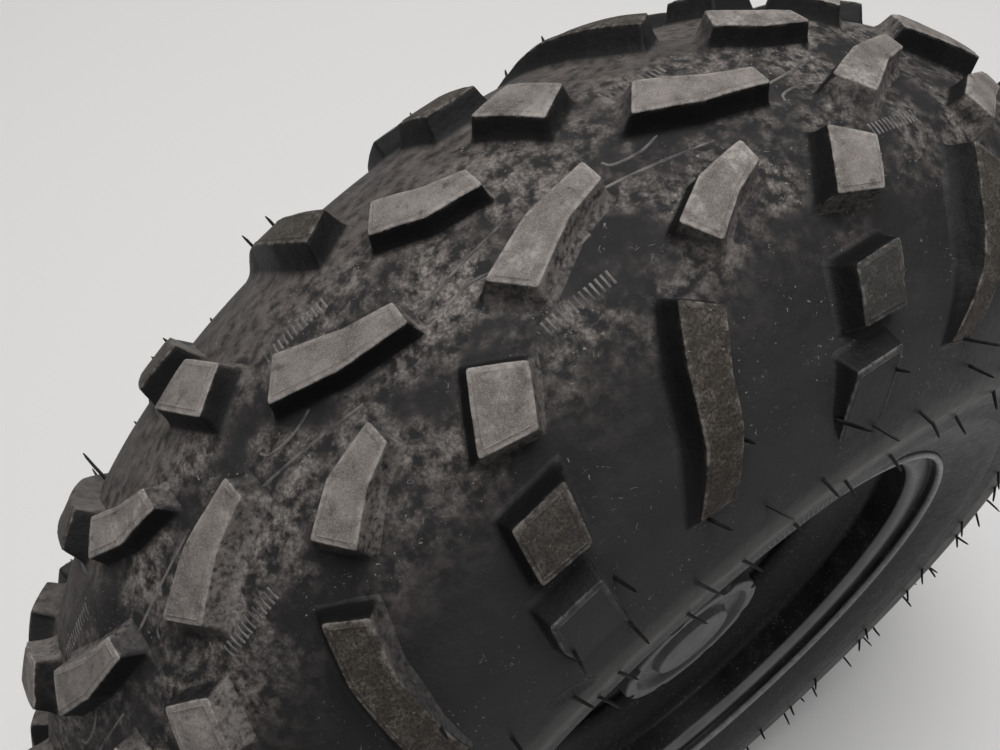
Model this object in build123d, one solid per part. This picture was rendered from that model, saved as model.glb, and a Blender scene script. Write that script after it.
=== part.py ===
from build123d import *
import math
import os

# Off-road wheel of a side-by-side utility vehicle: a knobbly tubeless tyre on a
# pressed-steel rim with a plastic centre cap and a rubber valve.
# The origin is the middle of the face that bolts to the hub. The axle runs along Y,
# the outboard side looks towards -Y, and +Z is up.
# Stations ("out") are measured outboard from the tyre's middle plane.

STANDING = (Align.CENTER, Align.CENTER, Align.MIN)

# Driving dimensions, in millimetres and degrees.
tyre_radius = 330.0          # to the lugs' tips, a 26 inch tyre
section_half = 118.5         # half of the widest section
widest_share = 0.366         # where that is, from the rim's lip to the lugs' tips
# Rubber between the lugs, in flat facets: inset from the widest section, drop below the
# lugs' tips. It stands a little proud of the round sidewall where it ends.
tread_base = [(84.5, 13.0), (52.5, 30.5), (25.5, 50.0), (10.5, 74.0)]
tread_facets = 48
tread_ledge = 0.6

bead_seat_radius = 152.4     # 12 inch rim
bead_gap = 0.3
rim_sheet = 3.0
rim_half = 97.0              # bead flange's tyre side, from the middle plane
lip_half = 107.0             # tip of the rolled lip
lip_radius = 166.0
bead_cover = 7.0             # rubber that lies over the rim's lip
well_radius = 128.0          # drop centre, tyre side
well_wall_run = 17.0
well_outboard = 60.0
well_inboard = 2.0

hub_face_offset = 38.0       # hub face outboard of the middle plane
disc_sheet = 5.0
bore_radius = 43.0
collar_height = 7.0          # steel collar pressed into the plate, above its face
collar_sheet = 2.2
bolt_circle = 137.0
bolt_count = 4
bolt_hole_radius = 6.0
crown_land = 6.7             # flat top of the crown, inside the welded flange
crown_run = 17.0
crown_rise = 12.0
seam_land = 2.0              # flat between the crown's foot and the hub plate's edge
disc_flange_length = 26.0
weld_gap = 0.3
overlap = 1.0                # how far a fused or cutting shape reaches past its neighbour

cap_face_out = 83.5
cap_wall = 2.5
cap_fit = 0.3
cap_face_sheet = 9.0
cap_rim_width = 8.0
cap_recess = 4.0
boss_radius = 25.0
boss_rise = 3.0
cap_notch_count = 8
cap_notch_width = 11.0
cap_notch_depth = 5.0
cap_notch_height = 6.0

valve_angle = 75.0
valve_fit = 0.3
valve_neck_radius = 5.2
valve_body_radius = 6.2
valve_body_length = 22.0
valve_stem_radius = 3.0
valve_stem_length = 9.0
valve_cap_radius = 4.4
valve_cap_end = 2.0

# Tread: every kind of lug stands this many times on each half of the tyre, and the
# inboard half is the outboard one mirrored and turned on by half a pitch.
lug_count = 12
pitch = 360.0 / lug_count
lug_draft = 8.0
lug_root = 34.0              # from the middle of a lug's top down into the carcass
lug_overshoot = 8.0          # prism above that middle, cut off by the facets
facet_reach = 50.0           # how far the flat facets run on past a lug's outline
lean_reach = 8.0             # stations this far each way give the way a lug leans

# Lugs: name, what their stations are measured from, their tops' facets as (station,
# drop below the lugs' tips) corners, and their outlines as (station, angle) corners.
# Those on the shoulder keep their place beside the widest section.
lugs = [
    ("centre", 0, [(-5, 0.3), (26, 1.9)],
     [(11.3, -14.6), (25.9, -16.8), (6.0, -24.7), (-4.7, -24.6), (0.4, -19.3)]),
    ("leaf", 0, [(21, 1.6), (50, 7.5)],
     [(36.4, 3.7), (50.3, 2.0), (32.1, -3.9), (21.3, -3.9), (25.5, 0.3)]),
    ("block", 0, [(31, 2.5), (62, 12.5)],
     [(31.6, -10.3), (56.8, -7.2), (62.2, -11.2), (43.3, -13.5)]),
    ("shoulder", section_half, [(-61, 11), (-41.5, 21.4), (-21.5, 40), (-11, 71)],
     [(-61.1, -23.0), (-21.5, -19.0), (-11.2, -16.3), (-10.7, -20.0), (-20.5, -22.3),
      (-51.2, -25.5)]),
    ("edge", section_half, [(-41, 21.8), (-22, 39.5)],
     [(-39.8, -5.7), (-22.9, -4.5), (-22.3, -9.0), (-40.6, -10.4)]),
]


def station(out):
    """Y of a place measured outboard from the tyre's middle plane."""
    return hub_face_offset - out


def ring(outline):
    """Solid of revolution about the axle from (out, radius) corners."""
    corners = [(radius, station(out)) for out, radius in outline]
    face = make_face(Polyline(*corners, close=True))
    return revolve(face, axis=Axis.Y)


def both_sides(half):
    """Outline corners of one half, repeated mirrored for the inboard half."""
    return half + [(-out, radius) for out, radius in reversed(half)]


def radius_at(line, out):
    """Radius on a line of (out, radius) corners, its end stretches carried on."""
    stretches = list(zip(line[:-1], line[1:]))
    for (out_a, radius_a), (out_b, radius_b) in stretches:
        if out <= out_b or out_b == line[-1][0]:
            share = (out - out_a) / (out_b - out_a)
            return radius_a + share * (radius_b - radius_a)


def on_wheel(out, radius, angle):
    """Point at an angle from the top, positive towards -X."""
    turn = math.radians(angle)
    return Vector(-radius * math.sin(turn), station(out), radius * math.cos(turn))


def facet_band(out_a, radius_a, out_b, radius_b):
    """Flat-sided part of the tread's base between two stations."""
    outwards = Vector(0, math.copysign(1, out_a - out_b), 0)
    start = Plane(origin=(0, station(out_a), 0), x_dir=(1, 0, 0), z_dir=outwards)
    run = abs(out_b - out_a)
    band = extrude(start * RegularPolygon(radius_a, tread_facets), amount=run)
    fall = (radius_a - radius_b) * math.cos(math.pi / tread_facets)
    if fall == 0:
        return band
    flats = [face for face in band.faces() if abs(face.normal_at().dot(outwards)) < 0.5]
    return draft(flats, start, math.degrees(math.atan2(fall, run)))


def carcass():
    """Rubber body of the tyre without its lugs, seated on the rim's beads."""
    base = [(section_half - inset, tyre_radius - drop) for inset, drop in tread_base]
    shoulder_out, shoulder_radius = base[-1]
    widest_radius = lip_radius + (tyre_radius - lip_radius) * widest_share
    side = [(shoulder_out, shoulder_radius - tread_ledge),
            (section_half, widest_radius),
            (rim_half + bead_cover, lip_radius + bead_gap),
            (rim_half - bead_gap, lip_radius + bead_gap),
            (rim_half - bead_gap, bead_seat_radius + bead_gap)]
    middle_out, middle_radius = base[0]
    tread = facet_band(-middle_out, middle_radius, middle_out, middle_radius)
    bands = []
    for (out_a, radius_a), (out_b, radius_b) in zip(base[:-1], base[1:]):
        bands.append(facet_band(out_a, radius_a, out_b, radius_b))
        bands.append(facet_band(-out_a, radius_a, -out_b, radius_b))
    inside = ring(both_sides([(section_half, 0), (section_half, widest_radius)]))
    return ring(both_sides(side)) + (tread + bands - inside)


def carried_on(start, end, reach):
    """Place past the end of a stretch, in line with it."""
    length = math.dist(start, end)
    return tuple(b + (b - a) * reach / length for a, b in zip(start, end))


def facet_slab(top_line, middle_angle, half_span):
    """Block below a lug's flat facets, whose corners touch the tread's crown."""
    first = carried_on(top_line[1], top_line[0], facet_reach)
    last = carried_on(top_line[-2], top_line[-1], facet_reach)
    lowered = math.cos(math.radians(half_span))
    corners = [(out, radius * lowered) for out, radius in [first] + top_line[1:-1] + [last]]
    corners += [(last[0], 0), (first[0], 0)]
    turn = math.radians(middle_angle)
    section = Plane(origin=(0, station(0), 0), x_dir=(0, -1, 0),
                    z_dir=(-math.cos(turn), 0, -math.sin(turn)))
    face = make_face(Polyline(*corners, close=True))
    return extrude(section * face, amount=facet_reach, both=True)


def lug(base, facets, outline):
    """One outboard lug: a drafted prism under flat facets."""
    top_line = [(base + out, tyre_radius - drop) for out, drop in facets]
    outline = [(base + out, angle) for out, angle in outline]
    angles = [angle for out, angle in outline]
    middle_angle = (max(angles) + min(angles)) / 2
    half_span = (max(angles) - min(angles)) / 2
    tops = [on_wheel(out, radius_at(top_line, out), angle) for out, angle in outline]
    middle = sum(tops, Vector(0, 0, 0)) * (1 / len(tops))
    mean_out = sum(out for out, angle in outline) / len(outline)
    fall = radius_at(top_line, mean_out - lean_reach) - radius_at(top_line, mean_out + lean_reach)
    lean = math.atan2(fall, 2 * lean_reach)
    turn = math.radians(middle_angle)
    radial = Vector(-math.sin(turn), 0, math.cos(turn))
    normal = radial * math.cos(lean) + Vector(0, -1, 0) * math.sin(lean)
    along = Vector(-math.cos(turn), 0, -math.sin(turn))
    top_plane = Plane(origin=middle, x_dir=along, z_dir=normal)
    corners = [top_plane.to_local_coords(point) for point in tops]
    face = make_face(Polyline(*[(c.X, c.Y) for c in corners], close=True))
    prism = extrude(top_plane.offset(lug_overshoot) * face, amount=-(lug_overshoot + lug_root))
    sides = [side for side in prism.faces() if abs(side.normal_at().dot(normal)) < 0.5]
    return draft(sides, top_plane, lug_draft) & facet_slab(top_line, middle_angle, half_span)


def tyre():
    """Carcass with every lug fused to it."""
    middle_plane = Plane.XZ.offset(-hub_face_offset)
    solids = []
    for name, base, facets, outline in lugs:
        outboard = lug(base, facets, outline)
        inboard = mirror(outboard, about=middle_plane).rotate(Axis.Y, -pitch / 2)
        for step in range(lug_count):
            solids.append(outboard.rotate(Axis.Y, -pitch * step))
            solids.append(inboard.rotate(Axis.Y, -pitch * step))
    return carcass() + solids


def sheet_section(line, thickness):
    """Corners of a bent sheet: a line of (out, radius) corners and its mitred copy."""
    normals = []
    for (out_a, radius_a), (out_b, radius_b) in zip(line[:-1], line[1:]):
        length = math.hypot(out_b - out_a, radius_b - radius_a)
        normals.append(((radius_b - radius_a) / length, (out_a - out_b) / length))
    copy = []
    for index, (out, radius) in enumerate(line):
        before = normals[max(index - 1, 0)]
        after = normals[min(index, len(normals) - 1)]
        share = 1 + before[0] * after[0] + before[1] * after[1]
        copy.append((out + thickness * (before[0] + after[0]) / share,
                     radius + thickness * (before[1] + after[1]) / share))
    return line + list(reversed(copy))


def rim_barrel():
    """Rolled barrel with bead seats, drop centre and curled lips, as one bent sheet."""
    well_floor = well_radius - rim_sheet
    seat_floor = bead_seat_radius - rim_sheet
    flange = [(lip_half, lip_radius - rim_sheet),
              (rim_half + rim_sheet, lip_radius - rim_sheet),
              (rim_half + rim_sheet, seat_floor)]
    line = flange + [(well_outboard + well_wall_run, seat_floor), (well_outboard, well_floor),
                     (well_inboard, well_floor), (well_inboard - well_wall_run, seat_floor)]
    line += [(-out, radius) for out, radius in reversed(flange)]
    return ring(sheet_section(line, rim_sheet))


def disc_flange_radius():
    """Inside of the disc's flange, which is welded in the well."""
    return well_radius - rim_sheet - weld_gap - disc_sheet


def hub_plate_radius():
    """Edge of the hub plate, where the disc is welded round it."""
    return disc_flange_radius() - crown_land - crown_run - seam_land


def rim_disc():
    """Pressed ring round the hub plate: raised crown and the flange welded in the well."""
    flange_radius = disc_flange_radius()
    crown_out = hub_face_offset + crown_rise
    crown_radius = flange_radius - crown_land
    line = [(hub_face_offset, hub_plate_radius() + weld_gap),
            (hub_face_offset, crown_radius - crown_run), (crown_out, crown_radius),
            (crown_out, flange_radius), (crown_out - disc_flange_length, flange_radius)]
    return ring(sheet_section(line, disc_sheet))


def hub_plate():
    """Flat plate that bolts to the hub."""
    inner = bore_radius + collar_sheet + weld_gap
    face_out = hub_face_offset + disc_sheet
    edge = hub_plate_radius()
    plate = ring([(hub_face_offset, inner), (face_out, inner), (face_out, edge),
                  (hub_face_offset, edge)])
    for step in range(bolt_count):
        turn = 2 * math.pi * step / bolt_count
        start = Plane(origin=(-math.sin(turn) * bolt_circle / 2, overlap,
                              math.cos(turn) * bolt_circle / 2), z_dir=(0, -1, 0))
        plate -= start * Cylinder(bolt_hole_radius, disc_sheet + 2 * overlap, align=STANDING)
    return plate


def bore_collar():
    """Collar in the plate's bore, over the hub's pilot and inside the cap."""
    outer = bore_radius + collar_sheet
    end = hub_face_offset + disc_sheet + collar_height
    return ring([(hub_face_offset, bore_radius), (end, bore_radius), (end, outer),
                 (hub_face_offset, outer)])


def centre_cap():
    """Plastic cup over the bore: notched rim, sunk ring and a plain round boss."""
    inner = bore_radius + collar_sheet + cap_fit
    outer = inner + cap_wall
    foot = hub_face_offset + disc_sheet
    floor = cap_face_out - cap_recess
    cap = ring([(foot, inner), (foot, outer), (cap_face_out, outer),
                (cap_face_out, outer - cap_rim_width), (floor, outer - cap_rim_width),
                (floor, boss_radius), (cap_face_out + boss_rise, boss_radius),
                (cap_face_out + boss_rise, 0), (cap_face_out - cap_face_sheet, 0),
                (cap_face_out - cap_face_sheet, inner)])
    notch = Box(cap_notch_width, cap_notch_height, cap_notch_depth,
                align=(Align.CENTER, Align.MIN, Align.MAX))
    notch = Pos(0, station(cap_face_out), outer) * notch
    for step in range(cap_notch_count):
        cap -= notch.rotate(Axis.Y, 360 * (step + 0.5) / cap_notch_count)
    return cap


def valve_plane():
    """Where the valve passes the sloping wall of the well, square to that wall."""
    drop = bead_seat_radius - well_radius
    slope = math.hypot(well_wall_run, drop)
    out_lean = drop / slope
    in_lean = well_wall_run / slope
    turn = math.radians(valve_angle)
    radial = Vector(-math.sin(turn), 0, math.cos(turn))
    middle_out = well_outboard + well_wall_run / 2
    middle_radius = (bead_seat_radius + well_radius) / 2 - rim_sheet
    direction = Vector(0, -1, 0) * out_lean - radial * in_lean
    origin = on_wheel(middle_out, middle_radius, valve_angle) - direction * rim_sheet
    return Plane(origin=origin, z_dir=direction)


def valve_profile(corners):
    """Turned piece along the valve's own axis from (radius, height) corners."""
    face = make_face(Polyline(*[(radius, 0, height) for radius, height in corners], close=True))
    return valve_plane() * revolve(face, axis=Axis.Z)


def valve_stem():
    """Rubber snap-in valve with its threaded end."""
    foot = rim_sheet + valve_fit
    top = rim_sheet + valve_body_length
    return valve_profile([(0, 0), (valve_neck_radius, 0), (valve_neck_radius, foot),
                          (valve_body_radius, foot), (valve_body_radius, top),
                          (valve_stem_radius, top), (valve_stem_radius, top + valve_stem_length),
                          (0, top + valve_stem_length)])


def valve_cap():
    """Dust cap screwed over the valve's end."""
    foot = rim_sheet + valve_body_length + valve_fit
    roof = foot + valve_stem_length
    tip = roof + valve_cap_end
    return valve_profile([(valve_stem_radius + valve_fit, foot), (valve_cap_radius, foot),
                          (valve_cap_radius, tip), (0, tip), (0, roof),
                          (valve_stem_radius + valve_fit, roof)])


def valve_hole():
    """Hole in the sloping wall of the well for the valve's neck."""
    return valve_plane() * Cylinder(valve_neck_radius + valve_fit, valve_body_length)


os.makedirs("parts", exist_ok=True)
parts = {
    "tyre": tyre(),
    "rim_barrel": rim_barrel() - valve_hole(),
    "rim_disc": rim_disc(),
    "hub_plate": hub_plate(),
    "bore_collar": bore_collar(),
    "centre_cap": centre_cap(),
    "valve_stem": valve_stem(),
    "valve_cap": valve_cap(),
}
for name, solid in parts.items():
    solid.label = name
    export_step(solid, f"parts/{name}.step")
    print(name, len(solid.solids()), round(solid.volume))
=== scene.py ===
import math
import random

import bmesh
import bpy
import numpy as np
from mathutils import Matrix, Vector, noise


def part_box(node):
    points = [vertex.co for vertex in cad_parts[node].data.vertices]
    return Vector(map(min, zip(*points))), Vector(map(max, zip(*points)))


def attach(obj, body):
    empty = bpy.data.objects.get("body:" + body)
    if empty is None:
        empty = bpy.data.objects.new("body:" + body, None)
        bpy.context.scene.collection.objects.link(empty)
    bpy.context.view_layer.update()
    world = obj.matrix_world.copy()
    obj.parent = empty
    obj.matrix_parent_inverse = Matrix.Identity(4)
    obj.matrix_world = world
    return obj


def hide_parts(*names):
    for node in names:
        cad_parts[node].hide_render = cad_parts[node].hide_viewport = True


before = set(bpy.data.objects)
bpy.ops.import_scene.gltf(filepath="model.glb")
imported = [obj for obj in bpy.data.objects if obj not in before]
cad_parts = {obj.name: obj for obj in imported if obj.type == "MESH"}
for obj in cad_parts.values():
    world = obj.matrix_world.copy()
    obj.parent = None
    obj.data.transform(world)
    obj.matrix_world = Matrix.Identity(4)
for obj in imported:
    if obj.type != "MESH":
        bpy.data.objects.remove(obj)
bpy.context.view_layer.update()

# Off-road wheel: knobbly tyre, pressed-steel rim, plastic centre cap and rubber valve.
# Profiles are (out, radius) in millimetres: out is measured outboard from the tyre's
# middle plane along the axle, radius from the axle. Angles go from the top towards -X.
MM = 0.001
BODY = "root"

tyre_low, tyre_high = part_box("tyre")
MIDDLE_Y = (tyre_low.y + tyre_high.y) / 2
TIP_RADIUS = (tyre_high.z - tyre_low.z) / 2 / MM
SECTION_HALF = (tyre_high.y - tyre_low.y) / 2 / MM

# Line over the lugs' tops, and line of the rubber between them down to the bead.
CROWN = [(-60, TIP_RADIUS - 11.6), (-30, TIP_RADIUS - 2.2), (0, TIP_RADIUS), (30, TIP_RADIUS - 2.2),
         (50, TIP_RADIUS - 7.4), (62, TIP_RADIUS - 12.4), (78, TIP_RADIUS - 22),
         (90, TIP_RADIUS - 32), (98.5, TIP_RADIUS - 42), (104.5, TIP_RADIUS - 56), (108, TIP_RADIUS - 71),
         (110, TIP_RADIUS - 86)]
BASE = [(-60, 303.5), (-34, 315.6), (0, 317.2), (34, 315.6), (67, 299.5), (84, 287.5), (96, 276.5),
        (105.5, 261), (111.5, 249), (115.6, 238), (117.4, 230.5), (SECTION_HALF - 0.2, 225), (117.6, 217.5),
        (117.2, 211), (116.2, 203), (115.6, 198), (114, 190), (110, 179), (106.2, 171)]

LUG_COUNT = 12
PITCH = 360 / LUG_COUNT

# Lugs: name, how far they stand proud of the crown line, how worn and dusty their tops
# are (the less worn also get more painted shade on their sides), outline as (out, angle)
# corners, and how far the foot reaches past each side.
LUGS = [
    ("centre", 0.0, 1.0,
     [(11.3, -14.6), (25.9, -16.8), (11.9, -21.3), (6.0, -24.7), (-4.7, -24.6), (0.4, -19.3)],
     [8.0, 9.0, 7.0, 4.5, 4.0, 4.0]),
    ("leaf", 0.0, 1.0,
     [(36.4, 3.7), (50.3, 2.0), (38.7, -1.1), (32.1, -3.9), (21.3, -3.9), (25.5, 0.3)],
     [5.5, 6.5, 5.5, 4.0, 4.5, 4.5]),
    ("block", 0.0, 0.95,
     [(31.6, -10.3), (56.8, -7.2), (62.2, -11.2), (43.3, -13.5)],
     [8.0, 4.5, 5.0, 6.5]),
    ("shoulder", 0.0, 0.24,
     [(57.4, -23.0), (77.0, -20.8), (97.0, -19.0), (107.3, -16.3), (107.8, -20.0),
      (98.0, -22.3), (85.0, -23.4), (67.3, -25.5)],
     [10.5, 11.5, 10.5, 4.0, 3.5, 4.0, 4.0, 5.5]),
    ("edge", 0.0, 0.2,
     [(78.7, -5.7), (95.6, -4.5), (96.2, -9.0), (77.9, -10.4)],
     [8.0, 5.5, 4.5, 8.0]),
    ("wall", 2.6, 0.05,
     [(102.1, -2.7), (107.2, -1.5), (109.8, -1.2), (109.8, -7.0), (107.7, -7.2), (102.1, -7.8)],
     [5.5, 4.5, 1.0, 2.0, 2.5, 7.0]),
]

# Mould lines left on the rubber between the lugs, as (out, angle) along each.
MOULD_LINES = [
    [(-7.0, 3.5), (-3.5, 3.0), (-2.1, 1.2), (-3.3, -0.3), (-7.3, -2.3), (-12.6, -5.5)],
    [(-2.9, 20.1), (-5.0, 17.0), (-9.9, 11.0)],
    [(16.6, 14.4), (19.4, 12.4), (19.9, 11.2), (15.7, 7.8)],
]
# Ribbed strip beside the centre lug: middle of its first and last rib as (out, angle).
RIBBED_STRIP = ((34.4, 14.2), (33.8, 8.8))
# Pointed oval pads with ribs, low on the sidewall: their ends as (out, angle), half their
# width, and how many pitches apart they stand.
OVAL_ENDS = ((114.0, 33.9), (116.7, 29.0))
OVAL_HALF = 4.2
OVAL_STEP = 6

# Moulding hairs: radius of each row on the sidewall, angle of its first hair, how many
# go round, their length, and how far they lean outwards from the axle and round the tyre.
HAIR_ROWS = [
    (277.0, 7.4, 12, 13, 0.0, -0.1),
    (266.4, 22.6, 12, 12, 0.0, -0.1),
    (259.0, -2.5, 24, 15, -0.1, -0.1),
    (245.5, 7.8, 24, 15, -0.3, -0.1),
    (236.0, 1.2, 24, 14, -0.6, -0.3),
    (222.5, -2.9, 24, 12, -0.9, -0.6),
    (212.0, -11.9, 24, 12, -0.9, -0.5),
]


def clear_selection():
    if bpy.context.object and bpy.context.object.mode != "OBJECT":
        bpy.ops.object.mode_set(mode="OBJECT")
    bpy.ops.object.select_all(action="DESELECT")


def make_active(piece):
    clear_selection()
    piece.select_set(True)
    bpy.context.view_layer.objects.active = piece


def edit(piece, kind="FACE"):
    make_active(piece)
    bpy.ops.object.mode_set(mode="EDIT")
    bpy.ops.mesh.select_mode(type=kind)
    return bmesh.from_edit_mesh(piece.data)


def outwards(piece):
    """Merges doubles and turns every face outwards."""
    edit(piece)
    bpy.ops.mesh.select_all(action="SELECT")
    bpy.ops.mesh.remove_doubles(threshold=1e-6)
    bpy.ops.mesh.normals_make_consistent(inside=False)
    bpy.ops.object.mode_set(mode="OBJECT")


def smooth_line(corners, steps=8):
    """Points along a smooth line through corners."""
    places = [Vector(corner) for corner in corners]
    places = [places[0] * 2 - places[1]] + places + [places[-1] * 2 - places[-2]]
    line = []
    for a, b, c, d in zip(places, places[1:], places[2:], places[3:]):
        for step in range(steps):
            t = step / steps
            line.append((b * 2 + (c - a) * t + (a * 2 - b * 5 + c * 4 - d) * t * t
                         + (b * 3 - a - c * 3 + d) * t ** 3) / 2)
    return line + [places[-2]]


def rounded(corners, segments=5):
    """Outline of (x, y, bend) corners with each bend as a smooth arc."""
    line = []
    count = len(corners)
    for index in range(count):
        here = Vector(corners[index][:2])
        before = Vector(corners[index - 1][:2]) - here
        after = Vector(corners[(index + 1) % count][:2]) - here
        bend = corners[index][2]
        if not bend:
            line.append(here)
            continue
        half = before.angle(after) / 2
        reach = min(bend / math.tan(half), before.length * 0.49, after.length * 0.49)
        start = here + before.normalized() * reach
        end = here + after.normalized() * reach
        for step in range(segments + 1):
            t = step / segments
            line.append(start * (1 - t) ** 2 + here * 2 * t * (1 - t) + end * t * t)
    return line


def beside(line, distance):
    """Open line moved sideways by a distance."""
    moved = []
    for index, here in enumerate(line):
        run = (line[min(index + 1, len(line) - 1)] - line[max(index - 1, 0)]).normalized()
        moved.append(here + Vector((-run.y, run.x)) * distance)
    return moved


def arc(middle, radius, start, end, steps):
    """Points on an arc, its angles in degrees from the outboard direction."""
    turns = [math.radians(start + (end - start) * step / steps) for step in range(steps + 1)]
    return [Vector((middle[0] + radius * math.cos(turn), middle[1] + radius * math.sin(turn)))
            for turn in turns]


def place(out, radius, angle):
    """Point on the wheel in metres."""
    turn = math.radians(angle)
    return Vector((-radius * math.sin(turn) * MM, MIDDLE_Y - out * MM, radius * math.cos(turn) * MM))


def spun(name, profile, steps=240):
    """Turned piece: a ring of corners moved on to the closed profile and spun about the axle."""
    clear_selection()
    bpy.ops.mesh.primitive_circle_add(vertices=len(profile), radius=0.1, location=(0, 0, 0))
    piece = bpy.context.object
    piece.name = name
    for vertex, (out, radius) in zip(piece.data.vertices, profile):
        vertex.co = place(out, radius, 0)
    edit(piece, "EDGE")
    bpy.ops.mesh.select_all(action="SELECT")
    bpy.ops.mesh.spin(steps=steps, angle=math.tau, center=(0, MIDDLE_Y, 0), axis=(0, 1, 0))
    bpy.ops.mesh.select_all(action="SELECT")
    bpy.ops.mesh.remove_doubles(threshold=1e-6)
    bpy.ops.mesh.dissolve_degenerate(threshold=1e-7)
    outwards(piece)
    return piece


def cut(piece, cutter):
    """Takes the cutter's shape out of the piece."""
    make_active(piece)
    modifier = piece.modifiers.new("cut", "BOOLEAN")
    modifier.operation = "DIFFERENCE"
    modifier.solver = "EXACT"
    modifier.object = cutter
    bpy.ops.object.modifier_apply(modifier=modifier.name)
    bpy.data.objects.remove(cutter)


def soft_edges(piece, angle=35):
    make_active(piece)
    bpy.ops.object.shade_smooth_by_angle(angle=math.radians(angle))


def joined(name, pieces):
    clear_selection()
    for piece in pieces:
        piece.select_set(True)
    bpy.context.view_layer.objects.active = pieces[0]
    bpy.ops.object.join()
    piece = bpy.context.object
    piece.name = name
    return piece


def copy_of(pattern):
    piece = pattern.copy()
    piece.data = pattern.data.copy()
    bpy.context.collection.objects.link(piece)
    return piece


def finish(piece, material, slot, *nodes):
    piece.data.materials.clear()
    piece.data.materials.append(material)
    if nodes:
        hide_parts(*nodes)
    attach(piece, BODY)


class Tread:
    """A line over the tread measured along itself, so that flat patterns wrap on to it."""

    def __init__(self, corners):
        self.line = smooth_line(corners)
        lengths = [0.0]
        for a, b in zip(self.line, self.line[1:]):
            lengths.append(lengths[-1] + (b - a).length)
        self.lengths = np.array(lengths)
        self.outs = np.array([p.x for p in self.line])
        self.radii = np.array([p.y for p in self.line])

    def along(self, out):
        return float(np.interp(out, self.outs, self.lengths))

    def spot(self, length):
        return Vector((float(np.interp(length, self.lengths, self.outs)),
                       float(np.interp(length, self.lengths, self.radii))))

    def at(self, length):
        """Place and outward normal as (out, radius) pairs."""
        run = (self.spot(length + 2) - self.spot(length - 2)).normalized()
        return self.spot(length), Vector((-run.y, run.x))


widest = max(range(len(BASE)), key=lambda index: BASE[index][0])
crown = Tread(CROWN)
base = Tread(BASE[:widest + 1])
PROBE = 0.25


def depth_below(length):
    """How far the rubber between the lugs lies below the crown, square to it."""
    here, normal = crown.at(length)
    for step in range(1, 120):
        probe = here - normal * step * PROBE
        if probe.y <= float(np.interp(probe.x, base.outs, base.radii)):
            break
    return step * PROBE


depth_lengths = np.arange(0, crown.lengths[-1] + 1, 1.0)
depths = np.array([depth_below(float(length)) for length in depth_lengths])


def grown(outline, reaches):
    """Outline with each side moved outwards by its own reach."""
    count = len(outline)
    area = sum(outline[i - 1].x * outline[i].y - outline[i].x * outline[i - 1].y for i in range(count))
    side = 1 if area > 0 else -1
    moved = []
    for index, here in enumerate(outline):
        before = (here - outline[index - 1]).normalized()
        after = (outline[(index + 1) % count] - here).normalized()
        normal_a = Vector((before.y, -before.x)) * side
        normal_b = Vector((after.y, -after.x)) * side
        reach_a = reaches[index - 1]
        reach_b = reaches[index]
        cross = normal_a.x * normal_b.y - normal_a.y * normal_b.x
        if abs(cross) < 0.3:
            moved.append(here + (normal_a + normal_b) / 2 * (reach_a + reach_b) / 2)
            continue
        moved.append(here + Vector((reach_a * normal_b.y - reach_b * normal_a.y,
                                    reach_b * normal_a.x - reach_a * normal_b.x)) / cross)
    return moved


# A lug is first made flat, LUG_RISE high. Its side goes up in rings, each a share of the
# foot's reach and of the height. Its top goes inwards in rings, each a step in and a height
# over the crown: a rounded edge, a faint chamfer, a thin line of flash, and the flat top.
LUG_RISE = 12.0
SIDE_RINGS = [(1.0, -0.035), (0.84, -0.005), (0.68, 0.045), (0.53, 0.115), (0.41, 0.21), (0.3, 0.34), (0.21, 0.5),
              (0.12, 0.68), (0.05, 0.83)]
TOP_RINGS = [(0.0, -1.0), (0.12, -0.5), (0.4, -0.25), (0.75, -0.22), (2.1, -0.08), (2.4, 0.2), (2.75, 0.0)]
FOOT_SUNK = -0.15
CORNER_BEND = 1.3
GRID = 2.3


def raise_ring(piece, ring, target):
    """Extrudes the selected ring of edges and moves each corner to its new place."""
    bpy.ops.mesh.extrude_region_move()
    mesh = bmesh.from_edit_mesh(piece.data)
    for vertex in mesh.verts:
        if vertex.select:
            nearest = min(range(len(ring)), key=lambda index: (ring[index] - vertex.co).length_squared)
            vertex.co = target[nearest]
    bmesh.update_edit_mesh(piece.data)
    return target


def start_ring(name, ring):
    clear_selection()
    bpy.ops.mesh.primitive_circle_add(vertices=len(ring), radius=10, location=(0, 0, 0))
    piece = bpy.context.object
    piece.name = name
    for vertex, corner in zip(piece.data.vertices, ring):
        vertex.co = corner
    edit(piece, "EDGE")
    bpy.ops.mesh.select_all(action="SELECT")
    return piece


def close_ends(piece):
    """Fills the selected ring and the one that the piece began with."""
    bpy.ops.mesh.edge_face_add()
    bpy.ops.mesh.select_all(action="DESELECT")
    mesh = bmesh.from_edit_mesh(piece.data)
    for edge in mesh.edges:
        edge.select_set(edge.is_boundary)
    bpy.ops.mesh.edge_face_add()
    bpy.ops.mesh.select_all(action="SELECT")
    bpy.ops.mesh.normals_make_consistent(inside=False)


def flat_outline(corners, line):
    return [Vector((line.along(out), math.radians(angle) * TIP_RADIUS)) for out, angle in corners]


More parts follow.
